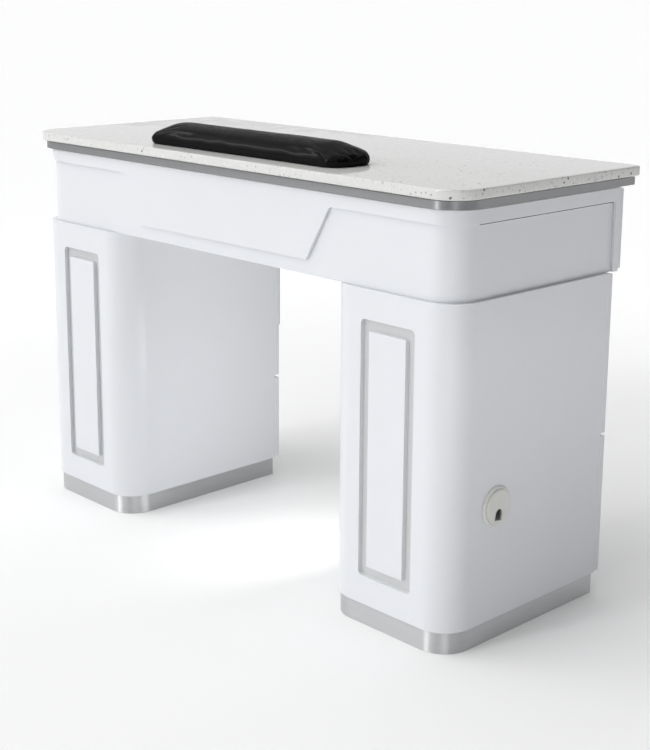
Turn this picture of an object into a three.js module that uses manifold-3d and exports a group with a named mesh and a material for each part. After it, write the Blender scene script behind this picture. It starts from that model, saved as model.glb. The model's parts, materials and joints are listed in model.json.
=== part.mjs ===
// Manicure table: quartz slab on a painted apron, two pedestals with storage that opens
// towards the technician, a vinyl armrest and a cable outlet.
// Millimetres, +Z up. The origin is on the floor, under the middle of the slab.
// -Y is the client's side (front), +Y is the technician's side (rear), +X is the client's right.
import * as THREE from 'three';
import { mergeVertices } from 'three/addons/utils/BufferGeometryUtils.js';
import Module from 'manifold-3d';

const wasm = await Module();
wasm.setup();

// ---- driving dimensions ----
const GAP = 0.3;                       // between neighbouring pieces
const PAST = 20;                       // how far a cutting solid reaches past what it cuts
const MERGE = 0.1;                     // how far joined solids run into each other
const ARC = 6;                         // pairs of steps in a rounded corner
const SIDES = { bar: 14, post: 10, knuckle: 16, pin: 10, outlet: 48 };   // of round pieces
const BOARD = 12;                      // carcass boards

const TABLE = { length: 1180, height: 780 };
const SLAB = { frontY: -242, rearY: 246, thick: 17.5, frontR: 56, rearR: 12, ease: 3, easeSteps: 4 };
const BAND = { halfX: 583, frontY: -235, rearY: 235, r: 55, thick: 1.5, bottomZ: 746.5, reveal: 2, rebate: 10 };
const FASCIA = { halfX: 578, frontY: -228, r: 62, thick: 5.7, topZ: 744.3, stripZ: 721 };
const SHADOW_GROOVE = { height: 2.6, depth: 5 };
const TRAPEZE = { topHalf: 295, bottomHalf: 238, bottomZ: 623, fillet: 5 };
const STILE = 14;                      // upright at each rear end of the fascia
const APRON = { halfX: 572, frontY: -222, rearY: 204, r: 56, bottomZ: 596.3 };
const PED = { outerX: 580, innerX: 295, frontY: -230.5, rearY: 175, r: 58, wall: 16, bottomZ: 39.3 };
const GROOVE = { bottomZ: 91, topZ: 545, halfW: 61, width: 19.5, depth: 8, r: 9, innerR: 1.5 };
const PLINTH = { inset: 3.5, rearY: 171.5, sheet: 1.5, core: 18 };

const TOP_FRONT = { y: 206, thick: 14, bottomZ: 599, topZ: 741 };
const PED_FRONT = { y: 176, thick: 12, bottomZ: 41, topZ: 594 };
const FRONT_GAP = 3;                   // between top drawer fronts
const FINGER_GAP = 6;                  // between stacked pedestal fronts
const SPLIT = { right: 301, left: 228 };   // middle height of the gap in each pedestal
const DIVIDER_X = 295;                 // middle of each apron divider

const DRAWER = { wall: 12, floor: 6, side: 9 };   // side: clearance to the compartment wall
const RAIL = { width: 20, height: 6, lead: 20, rearInset: 2 };
const GUIDE = { play: 0.5, wall: 3, lift: 1 };
const TOP_BOX = { frontY: -150, topZ: 726 };
const PED_BOX = { frontY: -165 };
const RIGHT_BOX_TOP = 556;
const LEFT_BOX_TOP = 200;

const PULL = { bar: 5, post: 4, standoff: 24, spacing: 128, overhang: 12, doorInset: 32 };
const HINGE = { r: 3, offset: 3.5, pin: 1.3, play: 0.15, leaf: 1.5, height: 64, wide: 22 };
const HINGE_PLACE = { inset: 45, rearMargin: 1 };   // from the door's ends and its rear face

const OUTLET = { y: -112, z: 241, bore: 30, tilt: -9 };
const LINER = { r: 29.5, wall: 2.5, flangeR: 35.5, flangeHeight: 4, flangeEase: 2 };
const LID = { skirtR: 26.6, skirtWall: 2, skirtDepth: 6, r: 30, underside: 4.3, roof: 5, height: 8.6 };
const LID_RIM = { thick: 2.7, ease: 2.6 };
const CABLE_SLOT = { halfW: 8.8, archZ: -11.3, endZ: -22.5 };

const ARMREST = { x: 14, y: -148, length: 536, width: 112, height: 42, endHeight: 22, r: 34 };
const SLOPE = { length: 150, reach: 12 };           // the pad's lower ends
const SHOULDER = { z: 18.9, reach: 4, crownHalf: 18.7 };   // the pad's section
const BASE = { endInset: 12, sideInset: 8, thick: 6, pocketZ: 6.6 };

// ---- heights and faces that follow from them ----
const slabBottom = TABLE.height - SLAB.thick;
const boardTop = slabBottom - GAP;
const boardBottom = BAND.bottomZ + GAP;
const apronTop = boardBottom - GAP;
const apronFloorTop = APRON.bottomZ + BOARD;
const pedTop = APRON.bottomZ - GAP;
const pedFloorTop = PED.bottomZ + BOARD;
const pedInnerLow = PED.innerX + PED.wall + GAP;
const pedInnerHigh = PED.outerX - PED.wall - GAP;
const pedMiddle = (PED.outerX + PED.innerX) / 2;
const pedBoardFront = PED.frontY + PED.wall + GAP;

// ---- materials ----
function finish(color, roughness, metalness) {
  return new THREE.MeshStandardMaterial({ color, roughness, metalness });
}
const quartz = () => finish(0xd9dbda, 0.2, 0);
const lacquer = () => finish(0xe9ebee, 0.35, 0);
const steel = () => finish(0xc4c6c6, 0.32, 1);
const melamine = () => finish(0xdedcd6, 0.6, 0);
const plywood = () => finish(0xc9a877, 0.65, 0);
const zinc = () => finish(0xa8abad, 0.4, 1);
const ivoryPlastic = () => finish(0xdedfd8, 0.45, 0);
const vinyl = () => finish(0x17181a, 0.4, 0);

// ---- solids ----
function box(x0, x1, y0, y1, z0, z1) {
  const geometry = new THREE.BoxGeometry(x1 - x0, y1 - y0, z1 - z0);
  return geometry.translate((x0 + x1) / 2, (y0 + y1) / 2, (z0 + z1) / 2);
}

function extrudeZ(shape, z0, z1) {
  const options = { depth: z1 - z0, bevelEnabled: false, curveSegments: ARC };
  return new THREE.ExtrudeGeometry(shape, options).translate(0, 0, z0);
}

// The shape is drawn in X and Z and runs from y0 to y1.
function extrudeY(shape, y0, y1) {
  return extrudeZ(shape, 0, y1 - y0).rotateX(Math.PI / 2).translate(0, y1, 0);
}

// The shape is drawn in Y and Z and runs from x0 to x1.
function extrudeX(shape, x0, x1) {
  const turn = new THREE.Matrix4().makeBasis(
    new THREE.Vector3(0, 1, 0), new THREE.Vector3(0, 0, 1), new THREE.Vector3(1, 0, 0));
  return extrudeZ(shape, x0, x1).applyMatrix4(turn);
}

function toSolid(geometry) {
  const bare = geometry.clone();
  bare.deleteAttribute('normal');
  bare.deleteAttribute('uv');
  const merged = mergeVertices(bare, 1e-4);
  const vertProperties = new Float32Array(merged.attributes.position.array);
  const triVerts = new Uint32Array(merged.index.array);
  return new wasm.Manifold(new wasm.Mesh({ numProp: 3, vertProperties, triVerts }));
}

function toGeometry(solid) {
  const mesh = solid.getMesh();
  const geometry = new THREE.BufferGeometry();
  geometry.setAttribute('position', new THREE.BufferAttribute(mesh.vertProperties, 3));
  geometry.setIndex(new THREE.BufferAttribute(mesh.triVerts, 1));
  return geometry;
}

function cut(geometry, ...tools) {
  return toGeometry(tools.reduce((solid, tool) => solid.subtract(toSolid(tool)), toSolid(geometry)));
}

function join(geometry, ...others) {
  return toGeometry(others.reduce((solid, other) => solid.add(toSolid(other)), toSolid(geometry)));
}

function keep(geometry, region) {
  return toGeometry(toSolid(geometry).intersect(toSolid(region)));
}

function cylinder(r, x, y, z0, z1, sides) {
  const turned = new THREE.CylinderGeometry(r, r, z1 - z0, sides).rotateX(Math.PI / 2);
  return turned.translate(x, y, (z0 + z1) / 2);
}

// ---- outlines ----
// A rectangle with its own radius at each pair of corners: low y first, then high y.
// A radius of 0 leaves a sharp corner.
function plate(x0, x1, y0, y1, rLow, rHigh) {
  const shape = new THREE.Shape();
  const corner = (x, y, r, start) => {
    if (r > 0) {
      shape.absarc(x, y, r, start, start + Math.PI / 2, false);
    } else {
      shape.lineTo(x, y);
    }
  };
  shape.moveTo(x0 + rLow, y0);
  corner(x1 - rLow, y0 + rLow, rLow, -Math.PI / 2);
  corner(x1 - rHigh, y1 - rHigh, rHigh, 0);
  corner(x0 + rHigh, y1 - rHigh, rHigh, Math.PI / 2);
  corner(x0 + rLow, y0 + rLow, rLow, Math.PI);
  return shape;
}

// A wall around the front and both sides, open at the rear, with rounded front corners.
function wrap(x0, x1, y0, y1, r, wall) {
  const shape = new THREE.Shape();
  shape.moveTo(x0, y1);
  shape.lineTo(x0, y0 + r);
  shape.absarc(x0 + r, y0 + r, r, Math.PI, Math.PI * 1.5, false);
  shape.lineTo(x1 - r, y0);
  shape.absarc(x1 - r, y0 + r, r, -Math.PI / 2, 0, false);
  shape.lineTo(x1, y1);
  shape.lineTo(x1 - wall, y1);
  shape.lineTo(x1 - wall, y0 + r);
  shape.absarc(x1 - r, y0 + r, r - wall, 0, -Math.PI / 2, true);
  shape.lineTo(x0 + r, y0 + wall);
  shape.absarc(x0 + r, y0 + r, r - wall, Math.PI * 1.5, Math.PI, true);
  shape.lineTo(x0 + wall, y1);
  shape.lineTo(x0, y1);
  return shape;
}

// A closed wall with rounded front corners and sharp rear ones.
function ring(x0, x1, y0, y1, r, wall) {
  const shape = plate(x0, x1, y0, y1, r, 0);
  shape.holes.push(plate(x0 + wall, x1 - wall, y0 + wall, y1 - wall, r - wall, 0));
  return shape;
}

// A polygon whose corners are rounded by quadratic curves of the given reach.
function softPolygon(points, reach) {
  const shape = new THREE.Shape();
  points.forEach(([x, y], i) => {
    const corner = new THREE.Vector2(x, y);
    const before = new THREE.Vector2(...points.at(i - 1));
    const after = new THREE.Vector2(...points[(i + 1) % points.length]);
    const enter = before.sub(corner).setLength(reach).add(corner);
    const leave = after.sub(corner).setLength(reach).add(corner);
    if (i === 0) {
      shape.moveTo(enter.x, enter.y);
    } else {
      shape.lineTo(enter.x, enter.y);
    }
    shape.quadraticCurveTo(x, y, leave.x, leave.y);
  });
  shape.closePath();
  return shape;
}

// ---- assembly ----
const table = new THREE.Group();

function add(name, geometry, material) {
  const mesh = new THREE.Mesh(geometry, material);
  mesh.name = name;
  table.add(mesh);
  return mesh;
}

// ---- top ----
function quartzTop() {
  const e = SLAB.ease;
  const halfX = TABLE.length / 2 - e;
  const shape = plate(-halfX, halfX, SLAB.frontY + e, SLAB.rearY - e, SLAB.frontR - e, SLAB.rearR - e);
  const options = {
    depth: SLAB.thick - 2 * e, bevelThickness: e, bevelSize: e, bevelSegments: SLAB.easeSteps,
    curveSegments: ARC,
  };
  return new THREE.ExtrudeGeometry(shape, options).translate(0, 0, slabBottom + e);
}

// The board's upper edge is rebated, which leaves a dark reveal between the band and the slab.
function subTopBoard() {
  const plan = (inset) =>
    plate(-BAND.halfX + inset, BAND.halfX - inset, BAND.frontY + inset, BAND.rearY, BAND.r - inset, 0);
  const edge = BAND.thick + GAP;
  const lower = extrudeZ(plan(edge), boardBottom, slabBottom - BAND.reveal);
  const upper = extrudeZ(plan(edge + BAND.rebate), boardBottom, boardTop);
  return join(lower, upper);
}

function trimBand() {
  const shape = wrap(-BAND.halfX, BAND.halfX, BAND.frontY, BAND.rearY, BAND.r, BAND.thick);
  return extrudeZ(shape, BAND.bottomZ, slabBottom - BAND.reveal);
}

add('quartz_top', quartzTop(), quartz());
add('sub_top_board', subTopBoard(), melamine());
add('steel_trim_band', trimBand(), steel());

// ---- apron ----
// Each side has a shadow groove just under the fascia's strip.
function apronShell() {
  const shape = wrap(-APRON.halfX, APRON.halfX, APRON.frontY, APRON.rearY, APRON.r, BOARD);
  const walls = extrudeZ(shape, APRON.bottomZ, apronTop);
  const inner = APRON.halfX - SHADOW_GROOVE.depth;
  const outer = APRON.halfX + PAST;
  const ends = [APRON.frontY + APRON.r, APRON.rearY - STILE];
  const heights = [FASCIA.stripZ - SHADOW_GROOVE.height, FASCIA.stripZ];
  return cut(walls, box(inner, outer, ...ends, ...heights), box(-outer, -inner, ...ends, ...heights));
}

// A raised skin over the apron: a strip along the top, a tapering plaque in the middle of the
// front and an upright at each rear end.
function fascia() {
  const shell = wrap(-FASCIA.halfX, FASCIA.halfX, FASCIA.frontY, APRON.rearY, FASCIA.r, FASCIA.thick);
  const skin = extrudeZ(shell, APRON.bottomZ, FASCIA.topZ);
  const past = TABLE.length / 2;
  const { topHalf, bottomHalf, bottomZ, fillet } = TRAPEZE;
  const above = FASCIA.topZ + PAST;
  const plaque = softPolygon([
    [past, above], [-past, above], [-past, FASCIA.stripZ], [-topHalf, FASCIA.stripZ],
    [-bottomHalf, bottomZ], [bottomHalf, bottomZ], [topHalf, FASCIA.stripZ], [past, FASCIA.stripZ],
  ], fillet);
  const stileFront = APRON.rearY - STILE;
  const below = APRON.bottomZ - PAST;
  const behind = APRON.rearY + PAST;
  const upright = softPolygon([
    [-past, FASCIA.stripZ], [stileFront, FASCIA.stripZ], [stileFront, below],
    [behind, below], [behind, above], [-past, above],
  ], fillet);
  const region = join(extrudeY(plaque, -past, past), extrudeX(upright, -past, past));
  return keep(skin, region);
}

function apronFloor() {
  const side = APRON.halfX - BOARD - GAP;
  const front = APRON.frontY + BOARD + GAP;
  const shape = plate(-side, side, front, APRON.rearY, APRON.r - BOARD - GAP, 0);
  return extrudeZ(shape, APRON.bottomZ, apronFloorTop);
}

function apronDivider(x) {
  const front = APRON.frontY + BOARD + GAP;
  return box(x - BOARD / 2, x + BOARD / 2, front, APRON.rearY, apronFloorTop + GAP, apronTop);
}

add('apron_shell', apronShell(), lacquer());
add('fascia', fascia(), lacquer());
add('apron_floor', apronFloor(), melamine());
add('apron_divider_left', apronDivider(-DIVIDER_X), melamine());
add('apron_divider_right', apronDivider(DIVIDER_X), melamine());

// ---- pedestals ----
// side is +1 for the right pedestal and -1 for the left one.
function across(side, low, high) {
  return side > 0 ? [low, high] : [-high, -low];
}

function panelGroove(side) {
  const centre = side * pedMiddle;
  const { bottomZ, topZ, halfW, width, depth, r, innerR } = GROOVE;
  const outer = plate(centre - halfW, centre + halfW, bottomZ, topZ, r, r);
  const innerHalf = halfW - width;
  const [low, high] = [bottomZ + width, topZ - width];
  outer.holes.push(plate(centre - innerHalf, centre + innerHalf, low, high, innerR, innerR));
  return extrudeY(outer, PED.frontY - PAST, PED.frontY + depth);
}

function outletBore() {
  const { bore, y, z } = OUTLET;
  const turned = new THREE.CylinderGeometry(bore, bore, 2 * PAST, SIDES.outlet).rotateZ(Math.PI / 2);
  return turned.translate(PED.outerX - PED.wall / 2, y, z);
}

function pedestalShell(side) {
  const [x0, x1] = across(side, PED.innerX, PED.outerX);
  const walls = extrudeZ(wrap(x0, x1, PED.frontY, PED.rearY, PED.r, PED.wall), PED.bottomZ, pedTop);
  return side > 0 ? cut(walls, panelGroove(side), outletBore()) : cut(walls, panelGroove(side));
}

function pedestalBoard(side, z0, z1) {
  const [x0, x1] = across(side, pedInnerLow, pedInnerHigh);
  const r = PED.r - PED.wall - GAP;
  return extrudeZ(plate(x0, x1, pedBoardFront, PED.rearY, r, 0), z0, z1);
}

function plinthSkirt(side) {
  const [x0, x1] = across(side, PED.innerX + PLINTH.inset, PED.outerX - PLINTH.inset);
  const shape = ring(x0, x1, PED.frontY + PLINTH.inset, PLINTH.rearY, PED.r - PLINTH.inset, PLINTH.sheet);
  return extrudeZ(shape, 0, PED.bottomZ - GAP);
}

function plinthCore(side) {
  const inset = PLINTH.inset + PLINTH.sheet + GAP;
  const [x0, x1] = across(side, PED.innerX + inset, PED.outerX - inset);
  const rear = PLINTH.rearY - PLINTH.sheet - GAP;
  const shape = ring(x0, x1, PED.frontY + inset, rear, PED.r - inset, PLINTH.core);
  return extrudeZ(shape, 0, PED.bottomZ - GAP);
}

for (const [label, side] of [['left', -1], ['right', 1]]) {
  add(`${label}_pedestal_shell`, pedestalShell(side), lacquer());
  add(`${label}_pedestal_floor`, pedestalBoard(side, PED.bottomZ, pedFloorTop), melamine());
  const middle = SPLIT[label];
  add(`${label}_middle_board`, pedestalBoard(side, middle - BOARD / 2, middle + BOARD / 2), melamine());
  add(`${label}_plinth_skirt`, plinthSkirt(side), steel());
  add(`${label}_plinth_core`, plinthCore(side), plywood());
}

// ---- pulls ----
// A round bar on two posts, drawn along X with its posts reaching back to y = 0.
function pull() {
  const half = PULL.spacing / 2;
  const reach = half + PULL.overhang;
  const bar = new THREE.CylinderGeometry(PULL.bar, PULL.bar, 2 * reach, SIDES.bar).rotateZ(Math.PI / 2);
  const posts = [-half, half].map((x) => {
    const post = new THREE.CylinderGeometry(PULL.post, PULL.post, PULL.standoff, SIDES.post);
    return post.translate(x, PULL.standoff / 2, 0);
  });
  return join(bar.translate(0, PULL.standoff, 0), ...posts);
}

function addPull(name, x, faceY, z, upright) {
  const mesh = add(name, pull(), steel());
  mesh.position.set(x, faceY + GAP, z);
  mesh.rotation.y = upright ? Math.PI / 2 : 0;
}

// ---- drawers ----
function drawerBox(x0, x1, y0, y1, z0, z1) {
  const { wall, floor } = DRAWER;
  const inside = box(x0 + wall, x1 - wall, y0 + wall, y1 - wall, z0 + floor, z1 + PAST);
  return cut(box(x0, x1, y0, y1, z0, z1), inside);
}

// The rail is screwed to the board below; the guide is a channel that straddles it.
function guideChannel(x, y0, y1, z0, z1) {
  const slot = RAIL.width / 2 + GUIDE.play;
  const half = slot + GUIDE.wall;
  const hollow = box(x - slot, x + slot, y0 - PAST, y1 + PAST, z0 - PAST, z1 - GUIDE.wall);
  return cut(box(x - half, x + half, y0, y1, z0, z1), hollow);
}

// A drawer with its front, box, pull, fixed rail and moving guide.
function addDrawer(name, d) {
  const middle = (d.x0 + d.x1) / 2;
  const halfRail = RAIL.width / 2;
  const railFront = d.boxY - RAIL.lead;
  const railRear = d.carcassY - RAIL.rearInset;
  const railBottom = d.floorZ + GAP;
  const railTop = railBottom + RAIL.height;
  const guideTop = railTop + GUIDE.play + GUIDE.wall;
  const rear = d.faceY - GAP;
  const [x0, x1, z0, z1] = d.front;
  const rail = box(middle - halfRail, middle + halfRail, railFront, railRear, railBottom, railTop);
  add(`${name}_front`, box(x0, x1, d.faceY, d.faceY + d.thick, z0, z1), lacquer());
  add(`${name}_box`, drawerBox(d.x0, d.x1, d.boxY, rear, guideTop + GAP, d.topZ), plywood());
  add(`${name}_rail`, rail, zinc());
  add(`${name}_guide`, guideChannel(middle, d.boxY, rear, railBottom + GUIDE.lift, guideTop), zinc());
  addPull(`${name}_pull`, middle, d.faceY + d.thick, (z0 + z1) / 2, false);
}

function topDrawer(name, x0, x1, frontX0, frontX1) {
  addDrawer(name, {
    x0, x1, boxY: TOP_BOX.frontY, topZ: TOP_BOX.topZ, floorZ: apronFloorTop, carcassY: APRON.rearY,
    faceY: TOP_FRONT.y, thick: TOP_FRONT.thick,
    front: [frontX0, frontX1, TOP_FRONT.bottomZ, TOP_FRONT.topZ],
  });
}

function pedestalDrawer(name, side, floorZ, topZ, frontZ0, frontZ1) {
  const [x0, x1] = across(side, pedInnerLow + DRAWER.side, pedInnerHigh - DRAWER.side);
  const [fx0, fx1] = across(side, PED.innerX, PED.outerX);
  addDrawer(name, {
    x0, x1, boxY: PED_BOX.frontY, topZ, floorZ, carcassY: PED.rearY,
    faceY: PED_FRONT.y, thick: PED_FRONT.thick, front: [fx0, fx1, frontZ0, frontZ1],
  });
}

const dividerFace = DIVIDER_X + BOARD / 2;
const sideBoxLow = dividerFace + DRAWER.side;
const sideBoxHigh = APRON.halfX - BOARD - DRAWER.side;
const centreBoxHalf = DIVIDER_X - BOARD / 2 - DRAWER.side;
const centreFrontHalf = DIVIDER_X - FRONT_GAP / 2;
const sideFrontLow = DIVIDER_X + FRONT_GAP / 2;

topDrawer('top_left_drawer', -sideBoxHigh, -sideBoxLow, -APRON.halfX, -sideFrontLow);
topDrawer('top_centre_drawer', -centreBoxHalf, centreBoxHalf, -centreFrontHalf, centreFrontHalf);
topDrawer('top_right_drawer', sideBoxLow, sideBoxHigh, sideFrontLow, APRON.halfX);
pedestalDrawer('right_drawer', 1, SPLIT.right + BOARD / 2, RIGHT_BOX_TOP,
  SPLIT.right + FINGER_GAP / 2, PED_FRONT.topZ);
pedestalDrawer('left_drawer', -1, pedFloorTop, LEFT_BOX_TOP,
  PED_FRONT.bottomZ, SPLIT.left - FINGER_GAP / 2);

// ---- doors ----
// A surface hinge: a leaf on the pedestal's side, a leaf on the door's edge and a knuckle each
// round a pin. x is the side face, which looks towards -X, and z is the hinge's middle.
const hingeY = (PED.rearY + PED_FRONT.y) / 2;

// A leaf from y0 to y1 with the half knuckle from z0 to z1, joined to it by a tab.
function hingeHalf(x, z, y0, y1, z0, z1) {
  const half = HINGE.height / 2;
  const outer = x - GAP - HINGE.leaf;
  const leaf = box(outer, x - GAP, y0, y1, z - half, z + half);
  const tabLow = Math.min(y1, hingeY) - MERGE;
  const tabHigh = Math.max(y0, hingeY) + MERGE;
  const tab = box(outer, x - GAP, tabLow, tabHigh, z0, z1);
  const knuckle = cylinder(HINGE.r, x - HINGE.offset, hingeY, z0, z1, SIDES.knuckle);
  return join(leaf, tab, knuckle);
}

function frameLeaf(x, z) {
  const half = HINGE.height / 2;
  const leaf = hingeHalf(x, z, hingeY - HINGE.wide, hingeY - HINGE.r, z - half, z - GAP / 2);
  return join(leaf, cylinder(HINGE.pin, x - HINGE.offset, hingeY, z - half, z + half, SIDES.pin));
}

function doorLeaf(x, z) {
  const half = HINGE.height / 2;
  const edge = PED_FRONT.y + PED_FRONT.thick - HINGE_PLACE.rearMargin;
  const leaf = hingeHalf(x, z, hingeY + HINGE.r, edge, z + GAP / 2, z + half);
  const boreR = HINGE.pin + HINGE.play;
  const bore = cylinder(boreR, x - HINGE.offset, hingeY, z - half - PAST, z + half + PAST, SIDES.pin);
  return cut(leaf, bore);
}

function addDoor(name, x0, x1, z0, z1) {
  add(name, box(x0, x1, PED_FRONT.y, PED_FRONT.y + PED_FRONT.thick, z0, z1), lacquer());
  const { inset } = HINGE_PLACE;
  for (const [place, z] of [['lower', z0 + inset], ['upper', z1 - inset]]) {
    add(`${name}_${place}_hinge_frame_leaf`, frameLeaf(x0, z), zinc());
    add(`${name}_${place}_hinge_door_leaf`, doorLeaf(x0, z), zinc());
  }
  addPull(`${name}_pull`, x1 - PULL.doorInset, PED_FRONT.y + PED_FRONT.thick, (z0 + z1) / 2, true);
}

addDoor('left_door', -PED.outerX, -PED.innerX, SPLIT.left + FINGER_GAP / 2, PED_FRONT.topZ);
addDoor('right_door', PED.innerX, PED.outerX, PED_FRONT.bottomZ, SPLIT.right - FINGER_GAP / 2);

// ---- cable outlet ----
// A turned profile, radius against height, that faces +X once it is placed.
function turnX(profile) {
  const points = profile.map(([r, h]) => new THREE.Vector2(r, h));
  return new THREE.LatheGeometry(points, SIDES.outlet).rotateZ(-Math.PI / 2);
}

function outletLiner() {
  const { r, wall, flangeR, flangeHeight, flangeEase } = LINER;
  const inner = r - wall;
  return turnX([
    [inner, -PED.wall], [r, -PED.wall], [r, GAP], [flangeR, GAP], [flangeR, flangeHeight - flangeEase],
    [flangeR - flangeEase, flangeHeight], [inner, flangeHeight], [inner, -PED.wall],
  ]);
}

// A lid with a short skirt that turns in the liner, and an arched slot for the cable.
function outletCap() {
  const { skirtR, skirtWall, skirtDepth, r, underside, roof, height } = LID;
  const inner = skirtR - skirtWall;
  const lid = turnX([
    [0, roof], [inner, roof], [inner, -skirtDepth], [skirtR, -skirtDepth], [skirtR, underside],
    [r, underside], [r, underside + LID_RIM.thick], [r - LID_RIM.ease, height], [0, height],
  ]);
  const { halfW, archZ, endZ } = CABLE_SLOT;
  const slot = new THREE.Shape();
  slot.moveTo(-halfW, endZ);
  slot.lineTo(halfW, endZ);
  slot.lineTo(halfW, archZ);
  slot.absarc(0, archZ, halfW, 0, Math.PI, false);
  slot.lineTo(-halfW, endZ);
  return cut(lid, extrudeX(slot, -PAST, PAST));
}

const liner = add('outlet_liner', outletLiner(), ivoryPlastic());
liner.position.set(PED.outerX, OUTLET.y, OUTLET.z);
const cap = add('outlet_cap', outletCap(), ivoryPlastic());
cap.position.set(PED.outerX, OUTLET.y, OUTLET.z);
cap.rotation.x = THREE.MathUtils.degToRad(OUTLET.tilt);

// ---- armrest ----
// The pad seen from the client's side: level in the middle and lower at both ends.
function padSide() {
  const { length, height, endHeight } = ARMREST;
  const half = length / 2;
  const shape = new THREE.Shape();
  shape.moveTo(-half, 0);
  shape.lineTo(half, 0);
  shape.lineTo(half, endHeight);
  shape.quadraticCurveTo(half - SLOPE.reach, height, half - SLOPE.length, height);
  shape.lineTo(SLOPE.length - half, height);
  shape.quadraticCurveTo(SLOPE.reach - half, height, -half, endHeight);
  shape.lineTo(-half, 0);
  return shape;
}

// The pad seen from its end: steep low faces, shoulders and a level crown.
function padSection() {
  const { height, width } = ARMREST;
  const half = width / 2;
  const { z, reach, crownHalf } = SHOULDER;
  const shape = new THREE.Shape();
  shape.moveTo(-half, 0);
  shape.lineTo(half, 0);
  shape.lineTo(half, z);
  shape.quadraticCurveTo(half - reach, height, crownHalf, height);
  shape.lineTo(-crownHalf, height);
  shape.quadraticCurveTo(reach - half, height, -half, z);
  shape.lineTo(-half, 0);
  return shape;
}

// A rounded rectangle, inset from the pad's outline.
function padPlan(endInset, sideInset) {
  const { length, width, r } = ARMREST;
  const halfX = length / 2 - endInset;
  const halfY = width / 2 - sideInset;
  return plate(-halfX, halfX, -halfY, halfY, r - sideInset, r - sideInset);
}

// Flat underneath, with a pocket for the base board.
function armrestPad() {
  const { length, width, height } = ARMREST;
  const block = extrudeZ(padPlan(0, 0), 0, height);
  const arched = keep(block, extrudeY(padSide(), -width, width));
  const crowned = keep(arched, extrudeX(padSection(), -length, length));
  return cut(crowned, extrudeZ(padPlan(BASE.endInset, BASE.sideInset), -PAST, BASE.pocketZ));
}

function armrestBase() {
  return extrudeZ(padPlan(BASE.endInset + GAP, BASE.sideInset + GAP), 0, BASE.thick);
}

const pad = add('armrest_pad', armrestPad(), vinyl());
pad.position.set(ARMREST.x, ARMREST.y, TABLE.height + GAP);
const base = add('armrest_base', armrestBase(), plywood());
base.position.set(ARMREST.x, ARMREST.y, TABLE.height + GAP);

export default table;
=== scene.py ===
"""Looks for the manicure table: camera, light, materials, eased edges, fittings and the
upholstered armrest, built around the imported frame.
Metres, +Z up. -Y is the client's side and +Y the technician's side."""
import json
import math

import bmesh
import bpy
from mathutils import Matrix, Vector, noise


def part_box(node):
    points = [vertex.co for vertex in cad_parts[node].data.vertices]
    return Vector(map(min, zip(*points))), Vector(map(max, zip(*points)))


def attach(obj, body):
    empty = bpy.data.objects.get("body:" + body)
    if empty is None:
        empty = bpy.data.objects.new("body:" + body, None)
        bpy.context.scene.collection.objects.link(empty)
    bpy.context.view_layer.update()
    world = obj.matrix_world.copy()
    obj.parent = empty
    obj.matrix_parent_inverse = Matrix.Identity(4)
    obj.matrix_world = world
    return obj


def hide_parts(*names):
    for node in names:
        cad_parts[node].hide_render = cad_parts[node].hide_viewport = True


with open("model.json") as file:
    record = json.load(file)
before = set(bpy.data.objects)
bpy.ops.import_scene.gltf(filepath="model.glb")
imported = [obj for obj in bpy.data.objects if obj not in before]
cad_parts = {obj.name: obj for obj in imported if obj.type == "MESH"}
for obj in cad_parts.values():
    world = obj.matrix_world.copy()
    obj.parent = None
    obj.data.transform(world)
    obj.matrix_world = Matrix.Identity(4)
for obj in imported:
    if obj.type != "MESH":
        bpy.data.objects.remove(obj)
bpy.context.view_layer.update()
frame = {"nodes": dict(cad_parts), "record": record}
NODES = frame["nodes"]
SCENE = bpy.context.scene
MM = 0.001
DRAWERS = (
    "top_left_drawer", "top_centre_drawer", "top_right_drawer", "right_drawer", "left_drawer",
)
DOORS = ("left_door", "right_door")


# ---- camera, light and floor ----
CAMERA_PLACE = (2.013, -1.876, 1.095)
CAMERA_YAW, CAMERA_PITCH, CAMERA_ROLL = 46.32, -12.63, -0.37    # degrees
LENS_MM = 69.0
SENSOR_MM = 36.0
SHIFT_UP = -0.10
FLOOR_HALF = 80.0
FLOOR_TONE = (0.96, 0.96, 0.96, 1)
WHITE = (1, 1, 1, 1)
# The lit backdrop: the distances at which its glow starts and is full, its least and full level.
FLOOR_GLOW = (0.7, 2.6, 0.0, 0.15)

# The studio's soft sky: azimuth and elevation of each light, the angles from its middle at
# which it has faded out and is full, and its level.
SKY_BASE = (0.010, 0.011, 0.013)
SKY_LIGHTS = [
    ("top", 0, 90, 50, 8, 0.95),
    ("key", -126, 28, 65, 15, 0.68),
    ("high", -120, 50, 45, 8, 0.85),
    ("back", 133, 14, 56, 28, 0.80),
]
# Upright strips of light: azimuth, the half widths at which each has faded out and is full, level.
SKY_STRIPS = [(-104, 6, 3.5, 6.5), (-38, 5, 3, 1.4), (52, 12, 6, 0.6)]
STRIP_HEIGHTS = (0.75, 0.35)    # sine of the elevation where a strip has faded out and is full
# Name, place, what it aims at, width, height, watts.
SOFTBOXES = [
    ("softbox_ridge", (-2.0, -1.45, 2.30), (-0.1, -0.19, 0.80), 1.6, 0.15, 9),
    ("softbox_side", (0.87, -0.30, 0.40), (0.57, -0.30, 0.40), 1.2, 0.10, 0.22),
    ("softbox_corner", (1.4, -1.0, 0.20), (-0.30, 0.10, 0.20), 0.6, 0.30, 0.8),
    ("softbox_knee", (0.16, -0.06, 0.24), (-0.30, 0.02, 0.16), 0.30, 0.20, 0.60),
]


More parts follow.
